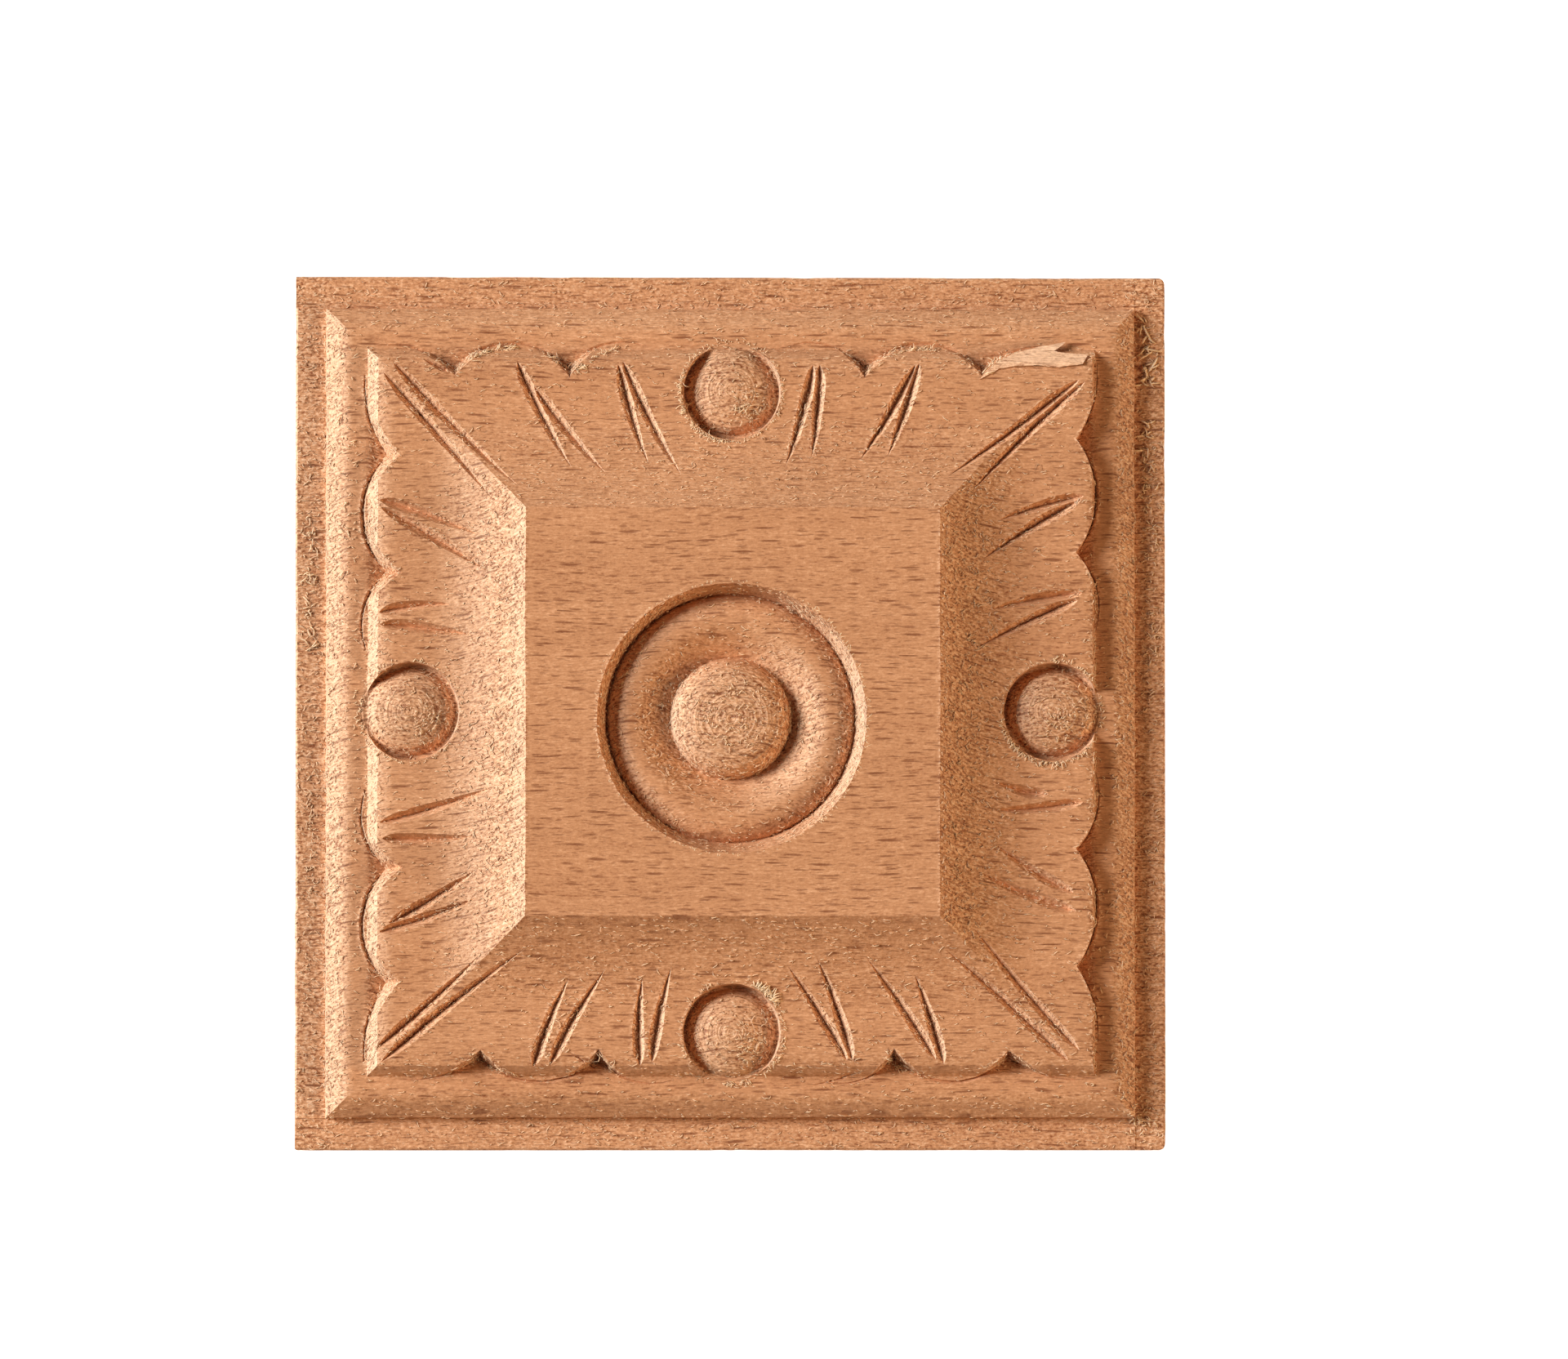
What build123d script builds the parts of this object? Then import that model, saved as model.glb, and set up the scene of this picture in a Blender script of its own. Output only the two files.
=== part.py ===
from build123d import *
from math import cos, degrees, asin, hypot, radians, sin, sqrt, tan
import os

# Block: millimetres, flat back on the ground plane, carved front upwards
blockWidth = 80.0
blockLength = 80.3
blockThickness = 18.0
cornerRadius = {(-1, 1): 0.1, (1, 1): 0.6, (1, -1): 0.6, (-1, -1): 0.35}
edgeEase = 0.2

# Steps down from the plateau to the panel, the fillet and the border strips
panelDrop = 4.2
filletDrop = 1.8
borderDrop = {"left": 2.4, "top": 2.58, "bottom": 2.54, "right": 2.62}

# Widths of the moulding, from the outer edge inwards
borderWidth = {"left": 2.9, "top": 3.05, "bottom": 3.05, "right": 2.9}
beadWidth = 2.45
filletWidth = 1.3
wallRun = {"left": 0.95, "top": 0.95, "bottom": 0.95, "right": 0.3}
shoulderWidth = {"left": 1.6, "top": 1.6, "bottom": 1.6, "right": 0.8}
flatWidth = {"left": 3.1, "top": 3.1, "bottom": 3.1, "right": 4.55}
coveRun = {"left": 8.8, "top": 9.2, "bottom": 8.95, "right": 8.8}

# Shape of the step, the bead and the shoulder
stepDraft = 0.1
beadRound = 1.4
beadTurn = 45.0
shoulderTurn = 22.0

# Side pattern, drawn for a panel of this half length and spread with the real one
patternHalf = 33.35
patternShift = {"top": 0.0, "right": 0.3, "bottom": 0.0, "left": 0.6}

# Scalloped edge: notches along a side, lobes between them and half lobes at their ends
notchAcross = (-25.4, -14.9, 12.2, 23.0)
notchFootInset = {"left": 1.85, "top": 1.85, "bottom": 1.85, "right": 1.6}
lobeRise = {"left": 2.3, "top": 2.3, "bottom": 2.3, "right": 1.75}
cornerLobeRise = {"left": 2.2, "top": 2.2, "bottom": 2.2, "right": 1.9}
cornerLobeReach = 6.3
innerLobeRise = {"left": 2.5, "top": 2.5, "bottom": 2.5, "right": 2.0}
innerLobeReach = 5.0
tailLength = 7.0
scallopDepth = {"left": 0.55, "top": 0.25, "bottom": 0.3, "right": 0.5}
scallopLean = {"left": 0.35, "top": 0.25, "bottom": 0.2, "right": 0.08}
creaseWidth = 0.3
notchFloorSlope = 0.4
chipReach = 5.0
cutterMargin = 2.0

# Domed side buttons, each in its round pocket
buttonInset = 3.95
buttonPocketRadius = 4.5
buttonPocketWall = 0.15
buttonGroove = 0.3
buttonDepth = 1.75
buttonTopDrop = 0.1
buttonCrownRadius = 3.2
buttonCrownDrop = 0.7

# Rosette sunk in the plateau
rosetteCentre = (-0.1, -0.7)
rosetteRimRadius = 12.3
rosetteWallRun = 0.95
rosetteDepth = 3.1
ringShoulderRadius = 7.9
ringShoulderDepth = 2.0
gapRadius = 5.55
gapDepth = 3.55
domeTopDrop = 0.8
domeCrownRadius = 3.1
domeCrownDrop = 0.2
pipRadius = 0.35
pipDepth = 0.15

# Vein cuts: share of the full width at stations from the root to the tip
veinWidth = 1.2
cornerVeinWidth = 1.15
veinSlope = 1.55
veinBow = 0.2
veinClearance = 0.4
veinTipLift = 0.04
veinFullness = ((0.0, 0.0), (0.09, 0.72), (0.3, 1.0), (0.6, 0.76), (0.85, 0.36), (1.0, 0.0))

# Vein cuts of each side: root across, root in from the foot of the wall, then the same of the tip
veins = {
    "top": (
        (-31.1, 1.25, -19.2, 13.15),
        (-19.7, 1.25, -14.6, 11.25),
        (-18.2, 3.45, -11.4, 11.75),
        (-10.4, 1.45, -7.6, 10.85),
        (-10.0, 1.15, -4.6, 11.95),
        (7.5, 1.45, 4.8, 11.15),
        (8.1, 1.45, 7.2, 10.35),
        (16.9, 1.45, 11.6, 10.55),
        (17.2, 1.35, 14.1, 10.25),
        (31.9, 2.75, 19.4, 12.05),
    ),
    "right": (
        (-30.4, 0.95, -19.6, 11.95),
        (-19.8, 1.05, -17.5, 9.05),
        (-19.5, 1.25, -13.8, 10.65),
        (-10.9, 1.15, -9.3, 9.95),
        (-10.3, 1.55, -5.7, 11.15),
        (7.5, 4.35, 6.4, 9.45),
        (8.2, 1.15, 9.0, 9.85),
        (16.6, 2.05, 12.0, 9.45),
        (18.3, 1.75, 14.6, 11.05),
        (31.1, 1.45, 19.4, 11.55),
    ),
    "bottom": (
        (-30.9, 1.25, -19.2, 11.85),
        (-19.4, 1.05, -16.6, 9.55),
        (-18.7, 1.45, -12.2, 10.95),
        (-11.1, 1.35, -7.7, 11.05),
        (-10.6, 1.45, -4.9, 10.25),
        (7.3, 1.25, 5.5, 10.15),
        (8.4, 0.95, 8.2, 9.25),
        (16.7, 0.95, 11.5, 9.95),
        (18.2, 0.75, 14.8, 9.15),
        (32.1, 1.25, 18.5, 11.95),
    ),
    "left": (
        (-30.9, 0.75, -22.0, 10.65),
        (-20.2, 1.05, -17.0, 10.15),
        (-19.4, 1.95, -14.3, 10.25),
        (-11.6, 1.35, -11.4, 9.95),
        (-10.2, 1.15, -6.9, 11.55),
        (8.0, 1.15, 6.9, 9.75),
        (9.1, 1.05, 9.8, 7.75),
        (18.7, 1.15, 12.6, 11.15),
        (19.4, 1.05, 16.1, 10.15),
        (31.1, 1.35, 18.8, 11.85),
    ),
}

# Turn of each side's pattern about the middle of the block
sideTurn = {"top": 0, "right": -90, "bottom": 180, "left": 90}

# Sides met at the negative and the positive end of each side
neighbours = {
    "top": ("left", "right"),
    "right": ("top", "bottom"),
    "bottom": ("right", "left"),
    "left": ("bottom", "top"),
}

# Levels and radii that follow from the sizes above
halfWidth = blockWidth / 2
halfLength = blockLength / 2
panelLevel = blockThickness - panelDrop
filletLevel = panelLevel - filletDrop
footLevel = {side: filletLevel - depth for side, depth in scallopDepth.items()}
aboveBlock = blockThickness + cutterMargin
beadRadius = beadRound / sin(radians(beadTurn))
beadEndLevel = filletLevel - beadRadius * (1 - cos(radians(beadTurn)))
stepTopLevel = beadEndLevel - (beadWidth - beadRound) * tan(radians(beadTurn))


def mouldingLines(side):
    # Distances of one side's moulding lines from the middle of the block
    edge = halfWidth if side in ("left", "right") else halfLength
    step = edge - borderWidth[side]
    bead = step - beadWidth
    wallFoot = bead - filletWidth
    wallTop = wallFoot - wallRun[side]
    shoulder = wallTop - shoulderWidth[side]
    coveFoot = shoulder - flatWidth[side]
    return {
        "edge": edge,
        "step": step,
        "bead": bead,
        "wallFoot": wallFoot,
        "wallTop": wallTop,
        "shoulder": shoulder,
        "coveFoot": coveFoot,
        "plateau": coveFoot - coveRun[side],
    }


lines = {side: mouldingLines(side) for side in sideTurn}


def shoulderLevel(side, inset):
    # Rounded edge of the panel, by the distance in from the top of its wall
    radius = shoulderWidth[side] / sin(radians(shoulderTurn))
    run = shoulderWidth[side] - inset
    return panelLevel - radius + sqrt(radius**2 - run**2)


def coveLevel(side, out):
    # Hollow of one cove, from the plateau edge down to the flat of the panel
    coveRadius = (coveRun[side] ** 2 + panelDrop**2) / (2 * panelDrop)
    run = lines[side]["coveFoot"] - out
    return panelLevel + coveRadius - sqrt(coveRadius**2 - run**2)


def panelLevelAt(side, out):
    line = lines[side]
    if out < line["plateau"]:
        return blockThickness
    if out < line["coveFoot"]:
        return coveLevel(side, out)
    if out < line["shoulder"]:
        return panelLevel
    return shoulderLevel(side, max(line["wallTop"] - out, 0))


def neighbourAt(side, across):
    return neighbours[side][1 if across > 0 else 0]


def panelSurface(side, across, out):
    # Height of the coved panel, the lower of two sides that meet in a mitre
    neighbour = neighbourAt(side, across)
    return min(panelLevelAt(side, out), panelLevelAt(neighbour, abs(across)))


def mouldingHalf(side, direction):
    # Line of the front from the middle of the plateau down to the back, on one side
    line = lines[side]
    border = filletLevel - borderDrop[side]

    def at(out, level):
        return (direction * out, level)

    plateauEdge = at(line["plateau"], blockThickness)
    middleCove = (line["plateau"] + line["coveFoot"]) / 2
    coveFoot = at(line["coveFoot"], panelLevel)
    shoulderStart = at(line["shoulder"], panelLevel)
    middleShoulder = (line["shoulder"] + line["wallTop"]) / 2
    middleShoulderLevel = shoulderLevel(side, shoulderWidth[side] / 2)
    wallTop = at(line["wallTop"], shoulderLevel(side, 0))
    beadStart = at(line["bead"], filletLevel)
    halfTurn = radians(beadTurn / 2)
    middleBead = line["bead"] + beadRadius * sin(halfTurn)
    middleBeadLevel = filletLevel - beadRadius * (1 - cos(halfTurn))
    beadEnd = at(line["bead"] + beadRound, beadEndLevel)
    outline = Line(at(0, blockThickness), plateauEdge)
    outline += ThreePointArc(plateauEdge, at(middleCove, coveLevel(side, middleCove)), coveFoot)
    outline += Line(coveFoot, shoulderStart)
    outline += ThreePointArc(shoulderStart, at(middleShoulder, middleShoulderLevel), wallTop)
    outline += Polyline(wallTop, at(line["wallFoot"], filletLevel), beadStart)
    outline += ThreePointArc(beadStart, at(middleBead, middleBeadLevel), beadEnd)
    outline += Polyline(
        beadEnd,
        at(line["step"], stepTopLevel),
        at(line["step"] + stepDraft, border),
        at(line["edge"] - edgeEase, border),
        at(line["edge"], border - edgeEase),
        at(line["edge"], 0),
        at(0, 0),
    )
    return outline


def mitredBlock():
    # The two moulding sections crossed, which mitres them along the diagonals
    plan = Rectangle(blockWidth, blockLength)
    for (signX, signY), radius in cornerRadius.items():
        corner = plan.vertices().sort_by_distance((signX * halfWidth, signY * halfLength, 0))[0]
        plan = fillet(corner, radius)
    alongY = Plane.XZ * make_face(mouldingHalf("left", -1) + mouldingHalf("right", 1))
    alongX = Plane.YZ * make_face(mouldingHalf("bottom", -1) + mouldingHalf("top", 1))
    block = extrude(alongY, blockLength, both=True) & extrude(alongX, blockWidth, both=True)
    return block & extrude(plan, aboveBlock)


def crownArc(topLevel, radius, drop, innerRadius=0.0):
    # Low domed top of a button, from the edge of a pip in it if there is one
    sphere = (radius**2 + drop**2) / (2 * drop)
    points = []
    for distance in (innerRadius, (innerRadius + radius) / 2, radius):
        points.append((distance, topLevel - sphere + sqrt(sphere**2 - distance**2)))
    return ThreePointArc(*points)


def rosetteCutter():
    # Section of the cutter that leaves the ring and the middle button
    floorLevel = blockThickness - rosetteDepth
    gapLevel = blockThickness - gapDepth
    domeTop = blockThickness - domeTopDrop
    gap = (gapRadius, gapLevel)
    dome = crownArc(domeTop, domeCrownRadius, domeCrownDrop, pipRadius)
    dome += TangentArc(dome @ 1, gap, tangent=dome % 1)
    foot = (rosetteRimRadius - rosetteWallRun, floorLevel)
    topRadius = foot[0] + rosetteWallRun / rosetteDepth * (aboveBlock - floorLevel)
    pipBottom = (0, domeTop - pipDepth)
    ringSlope = Line(gap, (ringShoulderRadius, blockThickness - ringShoulderDepth))
    outline = Line(pipBottom, dome @ 0) + dome + ringSlope
    outline += TangentArc(ringSlope @ 1, foot, tangent=ringSlope % 1)
    outline += Polyline(foot, (topRadius, aboveBlock), (0, aboveBlock), pipBottom)
    return Pos(*rosetteCentre) * revolve(Plane.XZ * make_face(outline), Axis.Z)


def buttonCutter(side):
    # Section of the cutter that leaves one domed button at the panel level
    floorLevel = panelLevel - buttonDepth
    floorRadius = buttonPocketRadius - buttonPocketWall
    domeTop = panelLevel - buttonTopDrop
    crown = crownArc(domeTop, buttonCrownRadius, buttonCrownDrop)
    topRadius = floorRadius + buttonPocketWall / buttonDepth * (aboveBlock - floorLevel)
    outline = crown + Polyline(
        crown @ 1,
        (floorRadius - buttonGroove, floorLevel),
        (floorRadius, floorLevel),
        (topRadius, aboveBlock),
        (0, aboveBlock),
        (0, domeTop),
    )
    return Pos(0, lines[side]["wallFoot"] - buttonInset) * revolve(Plane.XZ * make_face(outline), Axis.Z)


def alongSide(side, across):
    # Place along the real side of a point of the drawn pattern
    return across * lines[neighbourAt(side, across)]["wallFoot"] / patternHalf


def lobe(side, place, halfChord, rise, first, last, tilt):
    # Place of one lobe's axis, its foot radius and the stretch of edge it scoops
    radius = (halfChord**2 + rise**2) / (2 * rise)
    out = lines[side]["wallFoot"] - notchFootInset[side] + rise - radius
    return (place, out, radius, first, last, tilt)


def lobes(side):
    # Two groups of lobes; the half lobe nearer the corner is the flatter one
    tilt = degrees(asin(scallopDepth[side] / tailLength))
    notches = [alongSide(side, across) + patternShift[side] for across in notchAcross]
    groups = []
    for first, second in (notches[:2], notches[2:]):
        chord = (second - first) / 2
        before = (cornerLobeReach, cornerLobeRise[side])
        after = (innerLobeReach, innerLobeRise[side])
        if first > 0:
            before, after = after, before
        groups.append(
            (
                lobe(side, first - before[0], *before, first - tailLength, first, -tilt),
                lobe(side, first + chord, chord, lobeRise[side], first, second, 0),
                lobe(side, second + after[0], *after, second, second + tailLength, tilt),
            )
        )
    return groups


def lobeCore(side, across, out, radius):
    # Wood left standing inside one lobe's scooped edge
    below = footLevel[side] - cutterMargin
    lowRadius = radius + cutterMargin * scallopLean[side]
    highRadius = radius - (aboveBlock - footLevel[side]) * scallopLean[side]
    core = Cone(lowRadius, highRadius, aboveBlock - below, align=(Align.CENTER, Align.CENTER, Align.MIN))
    return Pos(across, out, below) * core


def lobeCrease(side, across, out, radius, first, last, tilt):
    # Crease along the foot of one lobe; on a half lobe it tips up from the notch and fades out
    foot = footLevel[side]
    slope = creaseWidth / scallopDepth[side]
    rise = panelLevel - foot
    funnel = Cone(
        radius - slope * cutterMargin,
        radius + slope * rise,
        rise + cutterMargin,
        align=(Align.CENTER, Align.CENTER, Align.MIN),
    )
    pivot = first if tilt > 0 else last
    funnel = Pos(pivot, out, foot) * Rot(0, -tilt, 0) * Pos(across - pivot, 0, -cutterMargin) * funnel
    clip = Box(last - first, halfWidth, blockThickness, align=(Align.MIN, Align.MIN, Align.MIN))
    return funnel & (Pos(first, out, foot - cutterMargin) * clip)


def notchFloor(side, first, last):
    # Chip cut out between lobes, falling inwards from the foot line of the wall
    wallFoot = lines[side]["wallFoot"]
    inner = wallFoot - chipReach
    outer = wallFoot + cutterMargin
    outline = Polyline(
        (inner, filletLevel - (wallFoot - inner) * notchFloorSlope),
        (outer, filletLevel + (outer - wallFoot) * notchFloorSlope),
        (outer, aboveBlock),
        (inner, aboveBlock),
        close=True,
    )
    strip = extrude(Plane.YZ * make_face(outline), last - first)
    return Pos(first) * strip


def scallopCutters(side):
    # Everything cut away outside the lobes, one solid for each half of a side
    cutters = []
    for group in lobes(side):
        chip = notchFloor(side, group[0][3], group[2][4])
        for shape in group:
            chip += lobeCrease(side, *shape)
        for shape in group:
            chip -= lobeCore(side, *shape[:3])
        cutters += chip.solids()
    return cutters


def veinCutter(side, rootAcross, rootInset, tipAcross, tipInset, width):
    # V-shaped cut that follows the panel, widest near the root and bowed slightly
    rootOut = lines[side]["wallFoot"] - rootInset
    start = alongSide(side, rootAcross)
    runAcross = alongSide(side, tipAcross) - start
    runOut = rootInset - tipInset
    length = hypot(runAcross, runOut)
    normal = (runOut / length, -runAcross / length)
    bend = 1 if start * normal[0] > 0 else -1
    sections = []
    for share, fullness in veinFullness:
        offset = bend * veinBow * 4 * share * (1 - share)
        across = start + runAcross * share + normal[0] * offset
        out = rootOut + runOut * share + normal[1] * offset
        halfCut = width / 2 * fullness
        reach = halfCut + veinClearance / veinSlope
        surface = panelSurface(side, across, out) + veinTipLift
        bottom = surface - halfCut * veinSlope
        top = surface + veinClearance
        sections.append(
            Wire.make_polygon(
                (
                    (across, out, bottom),
                    (across + normal[0] * reach, out + normal[1] * reach, top),
                    (across - normal[0] * reach, out - normal[1] * reach, top),
                )
            )
        )
    return Solid.make_loft(sections)


def sideCutters(side):
    cutters = [buttonCutter(side)] + scallopCutters(side)
    for index, cut in enumerate(veins[side]):
        atCorner = index in (0, len(veins[side]) - 1)
        cutters.append(veinCutter(side, *cut, cornerVeinWidth if atCorner else veinWidth))
    return [Rot(0, 0, sideTurn[side]) * cutter for cutter in cutters]


rosette = mitredBlock() - rosetteCutter()
for side in sideTurn:
    for cutter in sideCutters(side):
        rosette -= cutter

os.makedirs("parts", exist_ok=True)
export_step(rosette, "parts/rosette_block.step")
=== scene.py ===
import math

import bpy
import numpy as np
from mathutils import Matrix, Vector
from mathutils.bvhtree import BVHTree
from mathutils.geometry import delaunay_2d_cdt


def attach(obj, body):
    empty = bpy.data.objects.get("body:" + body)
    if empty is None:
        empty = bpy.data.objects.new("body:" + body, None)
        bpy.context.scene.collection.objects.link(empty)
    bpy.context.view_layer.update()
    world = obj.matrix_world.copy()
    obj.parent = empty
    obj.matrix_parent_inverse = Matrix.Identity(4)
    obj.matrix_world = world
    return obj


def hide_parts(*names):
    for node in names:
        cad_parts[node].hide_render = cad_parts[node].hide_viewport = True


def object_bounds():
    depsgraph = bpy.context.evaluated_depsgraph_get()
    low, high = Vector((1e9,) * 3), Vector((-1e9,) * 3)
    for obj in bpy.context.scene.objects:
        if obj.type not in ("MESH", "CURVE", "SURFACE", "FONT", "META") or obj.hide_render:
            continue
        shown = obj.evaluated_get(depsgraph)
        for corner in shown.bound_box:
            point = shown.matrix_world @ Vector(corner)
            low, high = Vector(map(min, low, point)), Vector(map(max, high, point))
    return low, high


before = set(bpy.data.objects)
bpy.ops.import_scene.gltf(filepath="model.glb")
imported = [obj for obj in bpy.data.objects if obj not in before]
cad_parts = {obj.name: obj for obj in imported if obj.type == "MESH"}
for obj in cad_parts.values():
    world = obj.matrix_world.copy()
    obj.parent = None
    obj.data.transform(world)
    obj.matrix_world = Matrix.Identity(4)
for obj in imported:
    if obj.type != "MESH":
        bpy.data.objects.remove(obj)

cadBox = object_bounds()
rng = np.random.default_rng(20)
mm = 0.001


# helpers

def hashLattice(ix, iy, iz, seed):
    # repeatable random numbers from 0 to 1 on whole-number lattice points
    n = ix * 73856093 ^ iy * 19349663 ^ iz * 83492791 ^ seed * 2654435761
    n = (n ^ (n >> 13)) * 1274126177 & 0x7FFFFFFF
    n = (n ^ (n >> 11)) * 1103515245 & 0x7FFFFFFF
    return (n >> 4 & 0xFFFFFF) / 0xFFFFFF


def smoothNoise(points, wave, seed):
    # noise from -1 to 1; wave is the size of its lumps in mm, one value or one for each axis
    p = points / np.asarray(wave, float)
    base = np.floor(p).astype(np.int64)
    f = p - base
    f = f * f * (3 - 2 * f)
    total = np.zeros(len(p))
    for dx in (0, 1):
        for dy in (0, 1):
            for dz in (0, 1):
                weight = (f[:, 0] if dx else 1 - f[:, 0])
                weight = weight * (f[:, 1] if dy else 1 - f[:, 1])
                weight = weight * (f[:, 2] if dz else 1 - f[:, 2])
                total += weight * hashLattice(base[:, 0] + dx, base[:, 1] + dy, base[:, 2] + dz, seed)
    return 2 * total - 1


def newObject(name, mesh, material):
    made = bpy.data.objects.new(name, mesh)
    bpy.context.scene.collection.objects.link(made)
    mesh.materials.append(material)
    return made


def fastMesh(name, vertices, triangles):
    # vertices in mm
    mesh = bpy.data.meshes.new(name)
    mesh.vertices.add(len(vertices))
    mesh.vertices.foreach_set("co", (np.asarray(vertices) * mm).astype(np.float32).ravel())
    count = len(triangles)
    mesh.loops.add(count * 3)
    mesh.loops.foreach_set("vertex_index", np.asarray(triangles, np.int32).ravel())
    mesh.polygons.add(count)
    mesh.polygons.foreach_set("loop_start", np.arange(0, count * 3, 3, dtype=np.int32))
    mesh.polygons.foreach_set("use_smooth", np.ones(count, bool))
    mesh.update(calc_edges=True)
    mesh.validate()
    return mesh


# the carved surface, read from the CAD node
surface = {
    "half": (40.0, 40.15),  # mm from the middle to the edges, as in part.py
    "spacing": 0.33,        # mm between points of the fine mesh
    "rowShare": 0.866,      # rows lie this much closer than points, as in a net of equal triangles
    "jitter": 0.22,         # share of the spacing that points are moved by
    "margin": 0.15,         # mm without free points along the rim
    "edgeStep": 0.36,       # mm between points along the carved edges
    "crackStep": 0.3,       # mm between points along the cracks
    "clearOfEdge": 0.17,    # mm kept free of other points beside an edge
    "probeStep": 0.12,      # mm between the marks that keep this clear
    "sharp": 4,             # degrees between two faces that make an edge worth keeping
    "steep": 0.3,           # below this upward share of its normal, a face counts as a wall
    "sideRows": 5,          # rows of faces down the sides
    "wobble": (0.035, 0.05),  # mm that edges wander, at short and long waves
    "skinDrop": 0.03,       # mm the plateau stays below the CAD top, room for its raised fibres
    "shadeSharp": 28,       # degrees between two faces that are shaded as an edge
    "calm": (0.93, 0.06, 0.2),  # how flat ground is before it may move, over what range, least share
    # cracks of the photo: route in mm, width, depth
    "cracks": (
        (((28.0, 32.1), (29.6, 31.9), (31.2, 32.0), (32.9, 32.6)), 0.3, 0.55),
        (((-28.2, 32.3), (-27.0, 31.6), (-26.3, 31.3), (-25.6, 31.0)), 0.5, 0.6),
        (((-14.8, -31.2), (-13.6, -31.9), (-12.4, -32.7)), 0.25, 0.4),
        (((7.4, -34.2), (9.6, -33.7), (12.5, -32.6)), 0.3, 0.25),
    ),
}


def readCad(node):
    # points in mm, triangles and the CAD normal at each corner
    mesh = node.data
    mesh.calc_loop_triangles()
    points = np.zeros(len(mesh.vertices) * 3, np.float32)
    mesh.vertices.foreach_get("co", points)
    points = points.reshape(-1, 3).astype(float) / mm
    count = len(mesh.loop_triangles)
    corners = np.zeros(count * 3, np.int32)
    loops = np.zeros(count * 3, np.int32)
    mesh.loop_triangles.foreach_get("vertices", corners)
    mesh.loop_triangles.foreach_get("loops", loops)
    normals = np.zeros(len(mesh.loops) * 3, np.float32)
    mesh.corner_normals.foreach_get("vector", normals)
    normals = normals.reshape(-1, 3)[loops].reshape(-1, 3, 3).astype(float)
    # points within 0.0002 mm of each other become one
    keys = np.round(points * 5000).astype(np.int64)
    _, first, merged = np.unique(keys, axis=0, return_index=True, return_inverse=True)
    merged = merged.ravel()
    return points[first], merged[corners].reshape(-1, 3), normals


def sharpEdges(triangles, normals, upward):
    # edges of the carved front where the surface turns sharply, and the rim where it meets the sides
    sides = {}
    for t, (a, b, c) in enumerate(triangles):
        for i, (p, q) in enumerate(((a, b), (b, c), (c, a))):
            if p != q:
                sides.setdefault((min(p, q), max(p, q)), []).append((t, i, p > q))
    inner, rim = [], []
    for (p, q), found in sides.items():
        if len(found) != 2:
            continue
        (t0, i0, swap0), (t1, i1, swap1) = found
        if not (upward[t0] or upward[t1]):
            continue
        if upward[t0] != upward[t1]:
            rim.append((p, q))
            continue
        worst = 1.0
        for end in (0, 1):
            n0 = normals[t0, (i0 + (end ^ swap0)) % 3]
            n1 = normals[t1, (i1 + (end ^ swap1)) % 3]
            worst = min(worst, float(n0 @ n1))
        if worst < math.cos(math.radians(surface["sharp"])):
            inner.append((p, q))
    return inner, rim


def rayTree(points, triangles):
    return BVHTree.FromPolygons([tuple(p) for p in points], [tuple(int(i) for i in t) for t in triangles])


def heightsAt(tree, points, triangles, normals, places):
    # height of the CAD surface; its own normals round off the flat facets of the mesh
    places = np.asarray(places)
    hit = np.zeros(len(places), np.int64)
    for i, (x, y) in enumerate(places):
        found = tree.ray_cast(Vector((x, y, 50)), Vector((0, 0, -1)))
        hit[i] = -1 if found[2] is None else found[2]
    z = np.zeros(len(places))
    ok = hit >= 0
    corner = points[triangles[hit[ok]]]
    normal = normals[hit[ok]]
    xy = places[ok]
    a, b, c = corner[:, 0], corner[:, 1], corner[:, 2]
    area = (b[:, 0] - a[:, 0]) * (c[:, 1] - a[:, 1]) - (c[:, 0] - a[:, 0]) * (b[:, 1] - a[:, 1])
    wb = ((xy[:, 0] - a[:, 0]) * (c[:, 1] - a[:, 1]) - (c[:, 0] - a[:, 0]) * (xy[:, 1] - a[:, 1])) / area
    wc = ((b[:, 0] - a[:, 0]) * (xy[:, 1] - a[:, 1]) - (xy[:, 0] - a[:, 0]) * (b[:, 1] - a[:, 1])) / area
    weight = np.clip(np.stack([1 - wb - wc, wb, wc], 1), 0, 1)
    weight /= weight.sum(1, keepdims=True)
    flat = (weight * corner[:, :, 2]).sum(1)
    wall = surface["steep"]
    steep = normal[:, :, 2].min(1) < wall
    slope = -normal[:, :, :2] / np.maximum(normal[:, :, 2:], wall)
    away = xy[:, None, :] - corner[:, :, :2]
    tangent = corner[:, :, 2] + (slope * away).sum(2)
    bowed = (weight * tangent).sum(1)
    z[ok] = np.where(steep, flat, 0.5 * flat + 0.5 * bowed)
    return z, ok


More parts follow.
